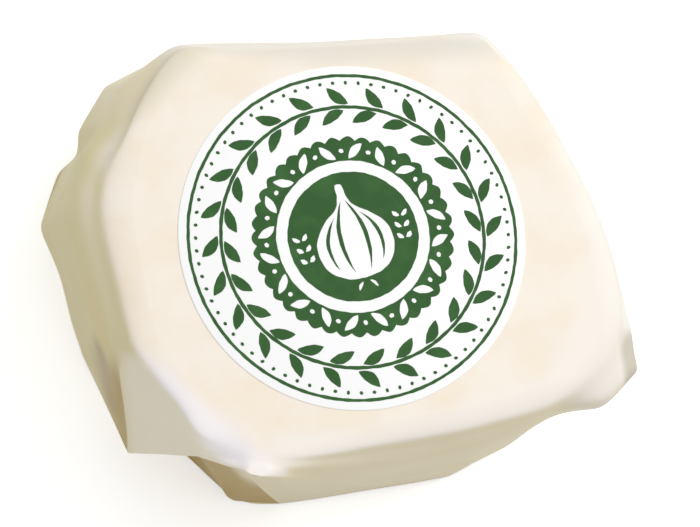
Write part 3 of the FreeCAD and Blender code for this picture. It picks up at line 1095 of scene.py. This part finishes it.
# %% Label and ink materials
LABEL_WHITE, LABEL_SHADE = "#FCFDFC", "#F8F9F8"
INK_GREEN, THIN_INK_GREEN = "#325B2D", "#3F6938"
LABEL_FIBRE_SIZE, LABEL_RELIEF = 0.5, 0.02       # mm
PRESS_SIZE = 3.5                                 # mm: between places where the block pressed more and less


def label_material():
    material, tree = new_material("coated_label_paper")
    where = node(tree, "ShaderNodeTexCoord").outputs["Object"]
    fibre = node(tree, "ShaderNodeTexNoise", inputs={
        "Vector": where, "Scale": 1 / (LABEL_FIBRE_SIZE * MM), "Detail": 4.0}).outputs["Fac"]
    colour = mix(tree, fibre, linear(LABEL_WHITE), linear(LABEL_SHADE))
    relief = node(tree, "ShaderNodeBump", inputs={
        "Height": fibre, "Strength": 0.05, "Distance": LABEL_RELIEF * MM})
    shader = node(tree, "ShaderNodeBsdfPrincipled",
                  inputs={"Base Color": colour, "Roughness": 0.42, "Normal": relief.outputs["Normal"]})
    finish_material(tree, shader.outputs["BSDF"])
    return material


def ink_material():
    """One solid green: a little thinner here and there, where the block pressed less."""
    material, tree = new_material("green_block_ink")
    where = node(tree, "ShaderNodeTexCoord").outputs["Object"]
    press = node(tree, "ShaderNodeTexNoise", inputs={
        "Vector": where, "Scale": 1 / (PRESS_SIZE * MM), "Detail": 5.0}).outputs["Fac"]
    thin = node(tree, "ShaderNodeMapRange", inputs={"Value": press, "From Min": 0.45, "From Max": 0.8})
    colour = mix(tree, thin.outputs["Result"], linear(INK_GREEN), linear(THIN_INK_GREEN))
    shader = node(tree, "ShaderNodeBsdfPrincipled",
                  inputs={"Base Color": colour, "Roughness": 0.5, "Specular IOR Level": 0.15})
    finish_material(tree, shader.outputs["BSDF"])
    return material


label.data.materials.append(label_material())
ink.data.materials.append(ink_material())

# %% [markdown]
# ## Floor and light
# A white sheet lies under the pack, and soft light comes from everywhere above, a little stronger from the
# right and the far side. The sheet is white to the camera and a mid grey to the light, so that it doesn't
# fill the pack's shade.

# %% Floor
FLOOR_SIZE = 6.0                         # m
WHITE, FLOOR_GREY = "#FFFFFF", "#B0B0AE"
FLOOR_GLOW = 0.4                         # brings the lit sheet up to white


def floor_material():
    material, tree = new_material("white_sweep")
    seen = node(tree, "ShaderNodeLightPath")
    by_camera = node(tree, "ShaderNodeMath", {"operation": "MAXIMUM"},
                     {0: seen.outputs["Is Camera Ray"], 1: seen.outputs["Is Glossy Ray"]})
    paper = node(tree, "ShaderNodeBsdfDiffuse", inputs={"Color": linear(WHITE)})
    glow = node(tree, "ShaderNodeEmission", inputs={"Color": linear(WHITE), "Strength": FLOOR_GLOW})
    white = node(tree, "ShaderNodeAddShader", inputs={0: paper.outputs[0], 1: glow.outputs[0]})
    grey = node(tree, "ShaderNodeBsdfDiffuse", inputs={"Color": linear(FLOOR_GREY)})
    both = node(tree, "ShaderNodeMixShader",
                inputs={0: by_camera.outputs[0], 1: grey.outputs[0], 2: white.outputs[0]})
    finish_material(tree, both.outputs[0])
    return material


bpy.ops.object.select_all(action="DESELECT")
bpy.ops.mesh.primitive_plane_add(size=FLOOR_SIZE, location=(0, 0, 0))
floor = bpy.context.object
floor.name = "floor"
floor.data.materials.append(floor_material())

# %% Light
ROOM_STRENGTH = 0.72
LAMP_PLACE, LAMP_SIZE, LAMP_POWER = Vector((0.7, 0.25, 0.9)), 0.7, 6.0    # m, m, W
PACK_MIDDLE = Vector((0, 0, 0.03))


def light_world(strength):
    """White to the camera, and a softer white to everything else."""
    world = bpy.data.worlds.new("soft_room")
    bpy.context.scene.world = world
    world.use_nodes = True
    tree = world.node_tree
    tree.nodes.clear()
    seen = node(tree, "ShaderNodeLightPath")
    lit = node(tree, "ShaderNodeBackground", inputs={"Color": linear(WHITE), "Strength": strength})
    white = node(tree, "ShaderNodeBackground", inputs={"Color": linear(WHITE), "Strength": 1.0})
    both = node(tree, "ShaderNodeMixShader",
                inputs={0: seen.outputs["Is Camera Ray"], 1: lit.outputs[0], 2: white.outputs[0]})
    node(tree, "ShaderNodeOutputWorld", inputs={"Surface": both.outputs[0]})


def add_lamp(name, place, size, power):
    """A square soft box that faces the pack."""
    bpy.ops.object.light_add(type="AREA", location=place)
    lamp = bpy.context.object
    lamp.name = name
    lamp.data.size = size
    lamp.data.energy = power
    lamp.rotation_euler = (PACK_MIDDLE - place).to_track_quat("-Z", "Y").to_euler()
    print(name, power, "W, m away:", round((PACK_MIDDLE - place).length, 2))


light_world(ROOM_STRENGTH)
add_lamp("key_lamp", LAMP_PLACE, LAMP_SIZE, LAMP_POWER)
bpy.context.scene.view_settings.view_transform = "Standard"
